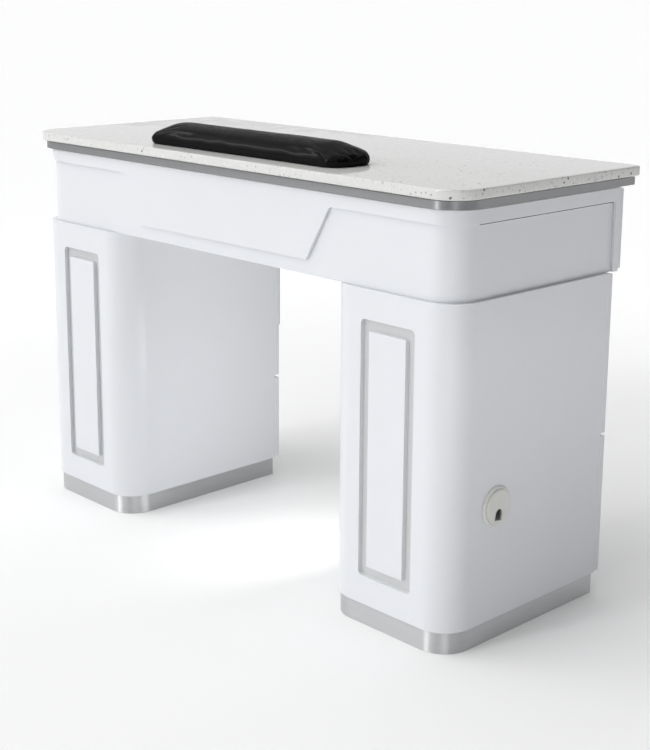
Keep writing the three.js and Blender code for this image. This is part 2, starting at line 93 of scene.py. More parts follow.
def make_camera():
    data = bpy.data.cameras.new("camera")
    data.lens = LENS_MM
    data.sensor_width = SENSOR_MM
    data.shift_y = SHIFT_UP
    camera = bpy.data.objects.new("camera", data)
    SCENE.collection.objects.link(camera)
    turn = Matrix.Rotation(math.radians(CAMERA_YAW), 4, "Z")
    tip = Matrix.Rotation(math.radians(90 + CAMERA_PITCH), 4, "X")
    roll = Matrix.Rotation(math.radians(-CAMERA_ROLL), 4, "Z")
    camera.matrix_world = Matrix.Translation(CAMERA_PLACE) @ turn @ tip @ roll
    SCENE.camera = camera


def socket(sockets, identifier):
    """The socket with this identifier: several sockets of a node can share one name."""
    return next(s for s in sockets if s.identifier == identifier)


class Tree:
    """Short ways to add nodes to a shader's tree."""

    def __init__(self, tree):
        self.nodes = tree.nodes
        self.links = tree.links

    def feed(self, into, value):
        """Links a socket, or sets a number or a colour."""
        if isinstance(value, bpy.types.NodeSocket):
            self.links.new(value, into)
        elif isinstance(value, (int, float)) or into.type == "VECTOR":
            into.default_value = value
        else:
            into.default_value = (*value, 1)

    def node(self, kind, **inputs):
        node = self.nodes.new(kind)
        for name, value in inputs.items():
            self.feed(node.inputs[name.replace("_", " ")], value)
        return node

    def coords(self, scale=(1, 1, 1)):
        """Coordinates on the object in metres, stretched by scale."""
        source = self.node("ShaderNodeTexCoord").outputs["Object"]
        return self.node("ShaderNodeMapping", Vector=source, Scale=scale).outputs["Vector"]

    def noise(self, vector, scale, detail=3.0, roughness=0.5, bend=0.0):
        node = self.node("ShaderNodeTexNoise", Vector=vector, Scale=scale, Detail=detail,
                         Roughness=roughness, Distortion=bend)
        return node.outputs["Fac"]

    def cells(self, vector, scale, output="Distance", feature="F1"):
        node = self.node("ShaderNodeTexVoronoi", Vector=vector, Scale=scale)
        node.feature = feature
        return node.outputs[output]

    def math(self, operation, a, b=0.0):
        node = self.nodes.new("ShaderNodeMath")
        node.operation = operation
        self.feed(node.inputs[0], a)
        self.feed(node.inputs[1], b)
        return node.outputs[0]

    def vector(self, operation, a, b, output):
        node = self.nodes.new("ShaderNodeVectorMath")
        node.operation = operation
        self.feed(node.inputs[0], a)
        self.feed(node.inputs[1], b)
        return node.outputs[output]

    def fade(self, value, start, end, low=0.0, high=1.0):
        """Runs smoothly from low to high while value runs from start to end."""
        node = self.nodes.new("ShaderNodeMapRange")
        node.interpolation_type = "SMOOTHSTEP"
        ends = {"From Min": start, "From Max": end, "To Min": low, "To Max": high}
        for name, number in ends.items():
            node.inputs[name].default_value = number
        self.feed(node.inputs["Value"], value)
        return node.outputs["Result"]

    def mix(self, factor, a, b, blend="MIX"):
        node = self.nodes.new("ShaderNodeMix")
        node.data_type = "RGBA"
        node.blend_type = blend
        for identifier, value in (("Factor_Float", factor), ("A_Color", a), ("B_Color", b)):
            self.feed(socket(node.inputs, identifier), value)
        return socket(node.outputs, "Result_Color")


NOISE_SPAN = (0.25, 0.75)      # most of a noise's values lie between these


class Shade(Tree):
    """A material and its Principled shader."""

    def __init__(self, name, **settings):
        self.material = bpy.data.materials.new(name)
        self.material.use_nodes = True
        super().__init__(self.material.node_tree)
        self.principled = self.nodes["Principled BSDF"]
        for setting, value in settings.items():
            self.principled.inputs[setting.replace("_", " ")].default_value = value

    def colour(self, value):
        self.feed(self.principled.inputs["Base Color"], value)

    def roughness(self, value, low, high):
        self.feed(self.principled.inputs["Roughness"], self.fade(value, *NOISE_SPAN, low, high))

    def bump(self, height, depth, strength=1.0):
        """Raises the surface by depth metres where height is 1, on top of earlier bumps."""
        node = self.node("ShaderNodeBump", Height=height, Strength=strength, Distance=depth)
        normal = self.principled.inputs["Normal"]
        if normal.links:
            self.feed(node.inputs["Normal"], normal.links[0].from_socket)
        self.feed(normal, node.outputs["Normal"])


def direction(azimuth, elevation):
    """The unit vector towards an azimuth and elevation in degrees."""
    a, e = math.radians(azimuth), math.radians(elevation)
    return (math.cos(a) * math.cos(e), math.sin(a) * math.cos(e), math.sin(e))


def make_lights():
    world = bpy.data.worlds.new("studio")
    SCENE.world = world
    world.use_nodes = True
    sky = Tree(world.node_tree)
    toward = sky.node("ShaderNodeTexCoord").outputs["Generated"]

    def lobe(vector, middle, outer, inner, strength):
        """Light round a middle direction, full within inner degrees and gone past outer."""
        aligned = sky.vector("DOT_PRODUCT", vector, middle, "Value")
        edges = (math.cos(math.radians(angle)) for angle in (outer, inner))
        return sky.fade(aligned, *edges, 0, strength)

    level = 0.0
    for _, azimuth, elevation, outer, inner, strength in SKY_LIGHTS:
        lit = lobe(toward, direction(azimuth, elevation), outer, inner, strength)
        level = sky.math("ADD", lit, level)
    levelled = sky.vector("MULTIPLY", toward, (1, 1, 0), "Vector")
    bearing = sky.vector("NORMALIZE", levelled, (0, 0, 0), "Vector")
    height = sky.node("ShaderNodeSeparateXYZ", Vector=toward).outputs["Z"]
    low_sky = sky.fade(height, *STRIP_HEIGHTS)
    for azimuth, outer, inner, strength in SKY_STRIPS:
        lit = lobe(bearing, direction(azimuth, 0), outer, inner, strength)
        level = sky.math("ADD", sky.math("MULTIPLY", lit, low_sky), level)
    grey = sky.node("ShaderNodeCombineColor", Red=level, Green=level, Blue=level).outputs["Color"]
    background = world.node_tree.nodes["Background"]
    sky.feed(background.inputs["Color"], sky.mix(1.0, grey, SKY_BASE, "ADD"))
    for name, stand, target, width, height, watts in SOFTBOXES:
        data = bpy.data.lights.new(name, "AREA")
        data.shape = "RECTANGLE"
        data.size, data.size_y = width, height
        data.energy = watts
        lamp = bpy.data.objects.new(name, data)
        SCENE.collection.objects.link(lamp)
        lamp.visible_camera = False
        lamp.location = stand
        aim = Vector(target) - Vector(stand)
        lamp.rotation_euler = aim.to_track_quat("-Z", "Y").to_euler()
    SCENE.view_settings.view_transform = "Standard"


def make_floor():
    mesh = bpy.data.meshes.new("studio_floor")
    reach = FLOOR_HALF
    corners = [(-reach, -reach, 0), (reach, -reach, 0), (reach, reach, 0), (-reach, reach, 0)]
    mesh.from_pydata(corners, [], [(0, 1, 2, 3)])
    floor = bpy.data.objects.new("studio_floor", mesh)
    SCENE.collection.objects.link(floor)
    s = Shade("studio_floor", Base_Color=FLOOR_TONE, Roughness=0.9, Emission_Color=WHITE)
    away = s.vector("LENGTH", s.coords(), (0, 0, 0), "Value")
    s.feed(s.principled.inputs["Emission Strength"], s.fade(away, *FLOOR_GLOW))
    mesh.materials.append(s.material)


make_camera()
make_lights()
make_floor()


# ---- finishes ----
# Chips in the quartz: cells per metre, size in its cell, share of the cells, strength, colour.
QUARTZ_CHIPS = [
    (130, 0.36, 0.55, 0.30, (0.84, 0.84, 0.83)),
    (105, 0.30, 0.38, 0.40, (0.43, 0.43, 0.42)),
    (95, 0.22, 0.30, 0.66, (0.27, 0.27, 0.265)),
    (44, 0.12, 0.20, 0.90, (0.07, 0.066, 0.06)),
]
CHIP_CORE = 0.65               # share of a chip's size within which its colour is full
CHIP_CHOICE = 0.02             # how softly the chosen cells are told from the others
CHIP_JITTER = 0.004            # how far the chips' outlines wander


def darker(tone, share):
    return tuple(c * share for c in tone)


def quartz():
    """Pale engineered quartz: a cloudy ground, fine grit and scattered grey and dark chips."""
    s = Shade("quartz", Specular_IOR_Level=0.5)
    at = s.coords()
    ground = s.mix(s.noise(at, 7, 3), (0.66, 0.662, 0.648), (0.71, 0.715, 0.70))
    grit = s.mix(s.noise(at, 420, 3, 0.7), (0.93, 0.93, 0.93), (1.05, 1.05, 1.05))
    body = s.mix(1.0, ground, grit, "MULTIPLY")
    jitter = s.node("ShaderNodeTexNoise", Vector=at, Scale=300.0).outputs["Color"]
    wavy = s.mix(CHIP_JITTER, at, jitter, "ADD")
    for scale, size, share, strength, colour in QUARTZ_CHIPS:
        near = s.fade(s.cells(wavy, scale), size, size * CHIP_CORE)
        cell = s.cells(wavy, scale, "Color")
        kind = s.node("ShaderNodeSeparateColor", Color=cell).outputs["Red"]
        chosen = s.fade(kind, share + CHIP_CHOICE, share)
        cover = s.math("MULTIPLY", s.math("MULTIPLY", near, chosen), strength)
        body = s.mix(cover, body, colour)
    s.colour(body)
    s.roughness(s.noise(at, 30, 3), 0.04, 0.09)
    s.bump(s.noise(at, 60, 2), 0.00001)
    return s.material


def lacquer(name, tone, low=0.285, high=0.37):
    """Sprayed satin lacquer: fine orange peel and a faint drift in tone and gloss."""
    s = Shade(name, Specular_IOR_Level=0.5)
    at = s.coords()
    body = s.mix(s.noise(at, 2.5, 2), darker(tone, 0.975), tone)
    drift = s.fade(s.noise(at, 9, 3, 0.6), 0.35, 0.75, 0.0, 0.25)
    s.colour(s.mix(drift, body, darker(tone, 0.95)))
    s.roughness(s.noise(at, 8, 3, 0.5), low, high)
    s.bump(s.noise(at, 480, 2, 0.4), 0.00003)
    s.bump(s.noise(at, 12, 2, 0.4), 0.00008)
    return s.material


def worn_and_highlit_edge(name, tone, bare, low, high, metallic=0.0):
    """A finish where it goes over an edge: its tone, a painted highlight where it is lighter than
    the finish, and scuffs here and there.
    """
    s = Shade(name, Metallic=metallic)
    at = s.coords()
    scuffs = s.fade(s.noise(at, 55, 5, 0.75), 0.56, 0.68, 0.0, 0.5)
    s.colour(s.mix(scuffs, tone, bare))
    s.roughness(s.noise(at, 90, 4, 0.6), low, high)
    s.bump(s.noise(at, 300, 3), 0.00004)
    return s.material


def brushed(name, tone, low=0.34, high=0.44):
    """Steel brushed along its length: streaks that change fast in height, slowly along it."""
    s = Shade(name, Metallic=1.0, Anisotropic=0.9, Anisotropic_Rotation=0.25)
    broad = s.noise(s.coords((4, 4, 700)), 1.0, 4, 0.6)
    fine = s.noise(s.coords((12, 12, 3200)), 1.0, 3, 0.6)
    streaks = s.math("MULTIPLY", s.math("ADD", broad, fine), 0.5)
    body = s.mix(s.fade(streaks, 0.35, 0.65), darker(tone, 0.90), tone)
    smudge = s.fade(s.noise(s.coords(), 16, 4, 0.6), 0.5, 0.75, 0.0, 0.2)
    s.colour(s.mix(smudge, body, darker(tone, 0.85)))
    s.roughness(streaks, low, high)
    s.bump(fine, 0.000008)
    tangent = s.nodes.new("ShaderNodeTangent")
    tangent.direction_type = "RADIAL"
    tangent.axis = "Z"
    s.feed(s.principled.inputs["Tangent"], tangent.outputs["Tangent"])
    return s.material


def melamine():
    """Off-white melamine board: fine pearl texture, a faint speckle and a darker raw edge."""
    s = Shade("white_melamine")
    at = s.coords()
    body = s.mix(s.noise(at, 6, 4), (0.70, 0.695, 0.67), (0.77, 0.765, 0.74))
    speck = s.fade(s.cells(at, 900), 0.16, 0.08)
    body = s.mix(s.math("MULTIPLY", speck, 0.2), body, (0.55, 0.53, 0.49))
    s.colour(body)
    s.roughness(s.noise(at, 50, 3), 0.44, 0.58)
    s.bump(s.noise(at, 1500, 2), 0.00004)
    return s.material


def plywood():
    """Clear sealed birch: long grain with slow bands, short pores and a little flame."""
    s = Shade("plywood")
    at = s.coords((2.2, 17, 17))
    bands = s.noise(at, 1.0, 5, 0.6, 0.8)
    grain = s.noise(s.coords((11, 380, 380)), 1.0, 4, 0.6)
    pores = s.fade(s.noise(s.coords((60, 1500, 1500)), 1.0, 2, 0.5), 0.62, 0.70)
    warm = s.mix(s.fade(bands, 0.3, 0.7), (0.56, 0.40, 0.235), (0.72, 0.575, 0.385))
    body = s.mix(s.fade(grain, 0.3, 0.7, 0.0, 0.5), warm, (0.50, 0.345, 0.19))
    s.colour(s.mix(s.math("MULTIPLY", pores, 0.5), body, (0.33, 0.21, 0.11)))
    s.roughness(grain, 0.40, 0.58)
    s.bump(grain, 0.00007)
    s.bump(pores, -0.00008)
    return s.material


def zinc():
    """Zinc plated sheet: crystalline patches, faint rolling marks and dull edges."""
    s = Shade("zinc_steel", Metallic=1.0)
    at = s.coords()
    patch = s.node("ShaderNodeSeparateColor", Color=s.cells(at, 130, "Color")).outputs["Red"]
    body = s.mix(patch, (0.47, 0.49, 0.51), (0.62, 0.64, 0.66))
    marks = s.noise(s.coords((30, 900, 30)), 1.0, 3)
    body = s.mix(s.fade(marks, 0.45, 0.7, 0.0, 0.4), body, (0.40, 0.41, 0.42))
    s.colour(body)
    s.roughness(s.noise(at, 80, 4), 0.29, 0.46)
    s.bump(marks, 0.00002)
    return s.material


def plastic(name, light, dark):
    """Moulded plastic: an even spark-eroded texture and a little grime towards the edges."""
    s = Shade(name, Specular_IOR_Level=0.5)
    at = s.coords()
    body = s.mix(s.noise(at, 45, 3), dark, light)
    grime = s.fade(s.noise(at, 160, 3), 0.5, 0.7, 0.0, 0.15)
    s.colour(s.mix(grime, body, darker(dark, 0.8)))
    s.roughness(s.noise(at, 220, 3), 0.32, 0.46)
    s.bump(s.noise(at, 1600, 2), 0.00004)
    return s.material


def vinyl():
    """Black upholstery vinyl: pebbled grain, faint stretch lines and rubbed high spots."""
    s = Shade("black_vinyl", Specular_IOR_Level=0.03, Coat_Weight=0.036, Coat_Roughness=0.24,
              Coat_IOR=3.0)
    at = s.coords()
    pebble = s.cells(at, 700, feature="SMOOTH_F1")
    stretch = s.noise(s.coords((24, 90, 90)), 1.0, 4, 0.6, 0.6)
    body = s.mix(s.fade(stretch, 0.35, 0.7), (0.0012, 0.0012, 0.0015), (0.0028, 0.0028, 0.0034))
    rubbed = s.fade(s.noise(at, 28, 4, 0.65), 0.55, 0.75, 0.0, 0.45)
    s.colour(s.mix(rubbed, body, (0.0055, 0.0055, 0.0065)))
    s.roughness(s.noise(at, 120, 4, 0.6), 0.30, 0.45)
    s.bump(pebble, 0.00008, 0.6)
    s.bump(stretch, 0.0002, 0.5)
    bumps = s.principled.inputs["Normal"].links[0].from_socket
    s.feed(s.principled.inputs["Coat Normal"], bumps)
    return s.material


FINISH = {
    "quartz": quartz(),
    "white_lacquer": lacquer("white_lacquer", (0.74, 0.754, 0.785)),
    "brushed_steel": brushed("brushed_steel", (0.64, 0.65, 0.655)),
    "white_melamine": melamine(),
    "plywood": plywood(),
    "zinc_steel": zinc(),
    "ivory_plastic": plastic("ivory_plastic", (0.725, 0.728, 0.70), (0.675, 0.678, 0.645)),
    "black_vinyl": vinyl(),
}
# Painted shade: darker lacquer in the two kinds of groove and darker steel for the band under the
# slab.
GUTTER_SHADE_LACQUER = lacquer("gutter_shade_lacquer", (0.60, 0.607, 0.61), 0.40, 0.55)
PAINTED_SHADE_LACQUER = lacquer("painted_shade_lacquer", (0.13, 0.135, 0.145), 0.40, 0.55)
SHADED_TRIM_STEEL = brushed("shaded_trim_steel", (0.32, 0.324, 0.33), 0.33, 0.43)
# Where a finish goes over an edge: its tone, on most a lighter one as a painted highlight, what
# shows through, least and most roughness.
EDGES = {
    "white_lacquer": worn_and_highlit_edge(
        "lacquer_edge", (0.84, 0.85, 0.875), (0.72, 0.72, 0.71), 0.285, 0.42),
    "white_melamine": worn_and_highlit_edge(
        "melamine_edge", (0.72, 0.71, 0.68), (0.52, 0.47, 0.40), 0.35, 0.55),
    "plywood": worn_and_highlit_edge(
        "plywood_edge", (0.66, 0.52, 0.34), (0.42, 0.29, 0.16), 0.35, 0.55),
    "zinc_steel": worn_and_highlit_edge(
        "zinc_edge", (0.68, 0.70, 0.72), (0.42, 0.42, 0.41), 0.29, 0.44, 1.0),
    "ivory_plastic": worn_and_highlit_edge(
        "plastic_edge", (0.755, 0.76, 0.735), (0.56, 0.56, 0.52), 0.29, 0.42),
}


# ---- the CAD nodes ----
GUTTER_DEPTH = 8 * MM          # of the groove round a pedestal's panel
STRIP_HEIGHT = 23.3 * MM       # of the fascia's strip
SHADOW_GROOVE = (5 * MM, 2.6 * MM)    # depth and height of the groove under the strip
SLACK = 0.1 * MM
FACING = 0.99                  # a face looks along an axis when its normal does by this much
WELD = 0.01 * MM
FLAT = math.radians(0.6)       # faces within this angle of each other are merged
BIG_FACE_WEIGHT = 80           # percent by which the larger faces set the shading


def add_modifier(obj, name, kind, **settings):
    modifier = obj.modifiers.new(name, kind)
    for setting, value in settings.items():
        setattr(modifier, setting, value)
    return modifier


def ease(obj, edge, steps=3, angle=35):
    """Rounds sharp edges by edge metres and evens out the shading."""
    add_modifier(obj, "edge", "BEVEL", width=edge, segments=steps, limit_method="ANGLE",
                 angle_limit=math.radians(angle), miter_outer="MITER_ARC")
    add_modifier(obj, "normals", "WEIGHTED_NORMAL", keep_sharp=True,
                 weight=BIG_FACE_WEIGHT)


def paint_gutter_shade(shell, floor_y):
    """The floor of the routed groove in a pedestal's front gets a darker lacquer: painted shade."""
    shell.data.materials.append(GUTTER_SHADE_LACQUER)
    for polygon in shell.data.polygons:
        if polygon.normal.y < -FACING and abs(polygon.center.y - floor_y) < 2 * SLACK:
            polygon.material_index = len(shell.data.materials) - 1


def paint_shade_under_strip(shell):
    """The groove under the fascia's strip, on both sides of the apron, is painted dark: painted
    shade under the strip.
    """
    shell.data.materials.append(PAINTED_SHADE_LACQUER)
    depth, height = SHADOW_GROOVE
    outer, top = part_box("apron_shell")[1][0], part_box("fascia")[1][2] - STRIP_HEIGHT
    for polygon in shell.data.polygons:
        at = polygon.center
        within = outer - depth - SLACK < abs(at.x) < outer - SLACK
        if within and top - height - SLACK < at.z < top + SLACK:
            polygon.material_index = len(shell.data.materials) - 1


def dress(name, slot, edge):
    """Gives a CAD node its finish, merges its flat faces and rounds its edges."""
    node = NODES[name]
    materials = node.data.materials
    materials.clear()
    # The band under the slab takes the darker copy of the steel: painted shade from the slab above
    # it.
    materials.append(SHADED_TRIM_STEEL if name == "steel_trim_band" else FINISH[slot])
    for polygon in node.data.polygons:
        polygon.use_smooth = True
    add_modifier(node, "weld", "WELD", merge_threshold=WELD)
    add_modifier(node, "flat", "DECIMATE", decimate_type="DISSOLVE", angle_limit=FLAT)
    if edge > 0:
        ease(node, edge)
    # The bevels take the edge finish: a painted highlight where its tone is lighter, and scuffs.
    if slot in EDGES:
        materials.append(EDGES[slot])
        node.modifiers["edge"].material = 1
    # Painted shade on the floor of the groove round the panel.
    if name.endswith("pedestal_shell"):
        paint_gutter_shade(node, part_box(name)[0][1] + GUTTER_DEPTH)
    # Painted shade in the groove under the fascia's strip.
    if name == "apron_shell":
        paint_shade_under_strip(node)


# How far each finish's edges are rounded; some nodes have less room, and 0 leaves them sharp.
EDGE_SIZE = {
    "quartz": 0.0, "white_lacquer": 1.0 * MM, "brushed_steel": 0.3 * MM, "white_melamine": 0.5 * MM,
    "plywood": 0.8 * MM, "zinc_steel": 0.3 * MM, "ivory_plastic": 0.6 * MM, "black_vinyl": 0.0,
}
TIGHT_EDGE = {"apron_shell": 0.4 * MM, "fascia": 0.35 * MM, "apron_floor": 0.3 * MM}
for part in frame["record"]["subparts"]:
    part_slot = part["material_slot"]
    dress(part["node"], part_slot, TIGHT_EDGE.get(part["node"], EDGE_SIZE[part_slot]))


# ---- new pieces ----
def new_piece(name, bm, material, body):
    """Makes a smooth shaded object that rides on a body."""
    mesh = bpy.data.meshes.new(name)
    bm.to_mesh(mesh)
    bm.free()
    for polygon in mesh.polygons:
        polygon.use_smooth = True
    mesh.materials.append(material)
    piece = bpy.data.objects.new(name, mesh)
    SCENE.collection.objects.link(piece)
    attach(piece, body)
    return piece


def applied(piece):
    """Replaces a piece's mesh by what its modifiers make of it."""
    bpy.context.view_layer.update()
    graph = bpy.context.evaluated_depsgraph_get()
    mesh = bpy.data.meshes.new_from_object(piece.evaluated_get(graph))
    piece.modifiers.clear()
    piece.data = mesh


def lathed(profile, sides):
    """A mesh turned from (radius, height) points round Z; a radius of 0 closes the end."""
    bm = bmesh.new()
    rings = []
    for radius, height in profile:
        if radius == 0:
            rings.append([bm.verts.new((0, 0, height))])
            continue
        angles = (2 * math.pi * i / sides for i in range(sides))
        points = [(radius * math.cos(a), radius * math.sin(a), height) for a in angles]
        rings.append([bm.verts.new(point) for point in points])
    for a, b in zip(rings, rings[1:]):
        for i in range(sides):
            j = (i + 1) % sides
            face = [a[i % len(a)], a[j % len(a)], b[j % len(b)], b[i % len(b)]]
            bm.faces.new([v for k, v in enumerate(face) if v not in face[:k]])
    return finished(bm, "lathed")


def rounded_block(size, edge):
    """A block centred on the origin with rounded edges."""
    bm = bmesh.new()
    made = bmesh.ops.create_cube(bm, size=1.0)["verts"]
    bmesh.ops.scale(bm, vec=size, verts=made)
    bmesh.ops.bevel(bm, geom=bm.edges[:], offset=edge, segments=3, profile=0.5, affect="EDGES")
    return finished(bm, "block")


def prism(outline, low, high, taper):
    """An upright prism on an outline, its lower end drawn in by taper."""
    bm = bmesh.new()
    under = [bm.verts.new((x * taper, y * taper, low)) for x, y in outline]
    over = [bm.verts.new((x, y, high)) for x, y in outline]
    for i in range(len(outline)):
        j = (i + 1) % len(outline)
        bm.faces.new((under[i], under[j], over[j], over[i]))
    bm.faces.new(list(reversed(under)))
    bm.faces.new(over)
    return finished(bm, "prism")


def finished(bm, name):
    """The mesh of a bmesh, its faces turned outwards."""
    bmesh.ops.recalc_face_normals(bm, faces=bm.faces)
    mesh = bpy.data.meshes.new(name)
    bm.to_mesh(mesh)
    bm.free()
    return mesh


def cut(mesh, cutter_mesh):
    """The mesh with another one taken away from it."""
    base, cutter = (bpy.data.objects.new(m.name, m) for m in (mesh, cutter_mesh))
    for obj in (base, cutter):
        SCENE.collection.objects.link(obj)
    add_modifier(base, "cut", "BOOLEAN", object=cutter, operation="DIFFERENCE", solver="EXACT")
    applied(base)
    result = base.data
    bpy.data.objects.remove(base)
    bpy.data.objects.remove(cutter)
    return result


# ---- the armrest: foam on a board under stretched vinyl ----
PAD_SHRINK = 2.0 * MM          # the cover starts this much smaller, and the pressure fills it
# (inset from the outline, height) from the underside to the ridge over the side, in mm
PAD_SIDE = [(4, 0), (1.6, 2.2), (0.4, 6.5), (0, 11), (1.3, 15.5), (3.4, 19.5), (6.2, 22.5)]
PAD_RADIUS = 34 * MM           # corners, seen from above
PAD_CROWN = 24 * MM            # rise of the crown over the ridge
PAD_ARCH = 4.5                 # power of the arch along the pad: higher is flatter
PAD_STEPS = 26                 # points round each corner
PAD_RINGS = 16                 # rings from the ridge to the top
PAD_CLOSING = 1.5              # power that crowds the rings near the ridge
PAD_SEAM = 0.5 * MM            # half width of the last ring
PAD_VOXEL = 3.6 * MM
PAD_FRAMES = 20
PAD_PRESSURE = 5.0
PAD_MOST_MOVE = 3.0 * MM
PAD_HELD = 2.5 * MM            # the lowest part of the cover is pinned while it fills
POCKET = (12 * MM, 8 * MM, 6.6 * MM)    # inset at the ends, at the sides, depth
POCKET_PAST = 5 * MM           # how far the cut for the pocket starts below the pad
POCKET_STEPS = 12

# The slack of the stretched cover. Noise scales are per metre and heights are in metres.
SLOW = ((17, 26, 30), 0.55 * MM)
QUICK = ((48, 60, 60), 0.22 * MM)
QUICK_SHIFT = 7                # keeps the quick noise apart from the slow one
SLACK_FROM, SLACK_RISE = 0.25, 3    # share of the height where the slack starts, how fast it grows
WAVE = ((24, 6), 0.9 * MM)     # along the ridge
WAVE_SHIFT = (3, 0.5)
WAVE_OUT = 0.8                 # its sideways part
WAVE_HEIGHT = (0.55, 0.16)     # middle and half width of its band, in shares of the pad's height
GATHERS = 46                   # folds round the pad where the cover is pulled under its ends
GATHER_SWAY = 3
GATHER_DEPTH = 0.35 * MM
GATHER_FROM = 0.80             # share of the half length where they start
GATHER_FADE = 2.6              # they are gone at this part of one of the height


def rounded_ring(half_x, half_y, radius, steps):
    """Points round a rounded rectangle, anticlockwise."""
    points = []
    for corner, (sx, sy) in enumerate(((1, -1), (1, 1), (-1, 1), (-1, -1))):
        for i in range(steps):
            a = math.radians(-90 + 90 * corner + 90 * i / (steps - 1))
            x = sx * (half_x - radius) + radius * math.cos(a)
            y = sy * (half_y - radius) + radius * math.sin(a)
            points.append((x, y))
    return points


def pad_form(low, high):
    """The pad's closed starting shape, a little smaller than the finished one."""
    centre = (low + high) / 2
    half_x = (high.x - low.x) / 2 - PAD_SHRINK
    half_y = (high.y - low.y) / 2 - PAD_SHRINK
    ridge_inset, ridge_height = (v * MM for v in PAD_SIDE[-1])
    bm = bmesh.new()
    rings = []

    def ring(inset, height):
        reach = half_y - inset
        outline = rounded_ring(half_x - inset, reach, min(PAD_RADIUS, reach), PAD_STEPS)
        points = [(centre.x + x, centre.y + y, low.z + height(x)) for x, y in outline]
        rings.append([bm.verts.new(point) for point in points])

    def arch(x):
        return 1 - abs(x / half_x) ** PAD_ARCH

    for inset, level in PAD_SIDE:
        ring(inset * MM, lambda x: level * MM)
    span = half_y - PAD_SEAM - ridge_inset
    for i in range(1, PAD_RINGS + 1):
        share = (i / PAD_RINGS) ** PAD_CLOSING
        dome = PAD_CROWN * (1 - (1 - share) ** 2)
        ring(ridge_inset + span * share, lambda x: ridge_height + dome * arch(x))
    for a, b in zip(rings, rings[1:]):
        for i in range(len(a)):
            j = (i + 1) % len(a)
            bm.faces.new((a[i], a[j], b[j], b[i]))
    bm.faces.new(reversed(rings[0]))
    bm.faces.new(rings[-1])
    bmesh.ops.recalc_face_normals(bm, faces=bm.faces)
    return bm


def inflate(piece, floor_z):
    """Fills a closed cover with pressure, without moving any point further than the cap."""
    add_modifier(piece, "voxels", "REMESH", mode="VOXEL", voxel_size=PAD_VOXEL,
                 use_smooth_shade=True)
    applied(piece)
    before = [v.co.copy() for v in piece.data.vertices]
    held = piece.vertex_groups.new(name="held")
    lowest = [v.index for v in piece.data.vertices if v.co.z < floor_z + PAD_HELD]
    held.add(lowest, 1.0, "REPLACE")
    cloth = add_modifier(piece, "cloth", "CLOTH")
    cloth.settings.effector_weights.gravity = 0
    cloth.settings.vertex_group_mass = "held"
    cloth.settings.use_pressure = True
    cloth.settings.uniform_pressure_force = PAD_PRESSURE
    cloth.point_cache.frame_end = PAD_FRAMES
    for number in range(1, PAD_FRAMES + 1):
        SCENE.frame_set(number)
    applied(piece)
    SCENE.frame_set(1)
    for vertex, start in zip(piece.data.vertices, before):
        moved = vertex.co - start
        if moved.length > PAD_MOST_MOVE:
            vertex.co = start + moved.normalized() * PAD_MOST_MOVE


def settle(piece, low, high):
    """Adds the slack of the stretched cover, and flattens the underside onto the slab."""
    centre = (low + high) / 2
    half = (high - low) / 2
    up = Vector((0.0, 0.0, 1.0))
    for vertex in piece.data.vertices:
        p = vertex.co
        across, along = p - centre, abs(p.x - centre.x) / half.x
        lift = (p.z - low.z) / (high.z - low.z)
        outward = Vector((across.x / half.x ** 2, across.y / half.y ** 2, 0)).normalized()
        slow = noise.noise(Vector([c * scale for c, scale in zip(p, SLOW[0])]))
        x, y, z = (c * scale for c, scale in zip(p, QUICK[0]))
        quick = noise.noise(Vector((x, y, z + QUICK_SHIFT)))
        x, y = (c * scale for c, scale in zip(p.xy, WAVE[0]))
        wave = noise.noise(Vector((x + WAVE_SHIFT[0], y, WAVE_SHIFT[1])))
        band = math.exp(-((lift - WAVE_HEIGHT[0]) / WAVE_HEIGHT[1]) ** 2)
        slack = min(1.0, max(0.0, lift - SLACK_FROM) * SLACK_RISE)
        p += up * (SLOW[1] * slow + QUICK[1] * quick) * slack
        p += (up + outward * WAVE_OUT) * WAVE[1] * wave * band
        turn = math.atan2(across.y / half.y, across.x / half.x)
        near_end = max(0.0, (along - GATHER_FROM) / (1 - GATHER_FROM))
        gather = math.sin(turn * GATHERS + GATHER_SWAY * slow) * near_end
        p += outward * GATHER_DEPTH * gather * max(0.0, 1 - lift * GATHER_FADE)
        p.x = min(max(p.x, low.x), high.x)
        p.y = min(max(p.y, low.y - MM), high.y + MM)
        p.z = max(p.z, low.z)


def pocket(low, high):
    """The recess in the pad's underside that the base board sits in."""
    centre, half = (low + high) / 2, (high - low) / 2
    half_x, half_y = half.x - POCKET[0], half.y - POCKET[1]
    outline = rounded_ring(half_x, half_y, PAD_RADIUS - POCKET[1], POCKET_STEPS)
    mesh = prism(outline, -POCKET_PAST, POCKET[2], 1.0)
    mesh.transform(Matrix.Translation((centre.x, centre.y, low.z)))
    return mesh


def armrest():
    """The upholstered pad, which stands for the plain one of the CAD."""
    low, high = (Vector(c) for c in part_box("armrest_pad"))
    form = pad_form(low, high)
    pad = new_piece("armrest_cover", form, FINISH["black_vinyl"], "armrest")
    inflate(pad, low.z)
    add_modifier(pad, "fine", "SUBSURF", levels=1, render_levels=1)
    applied(pad)
    settle(pad, low, high)
    pad.data = cut(pad.data, pocket(low, high))
    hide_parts("armrest_pad")


armrest()


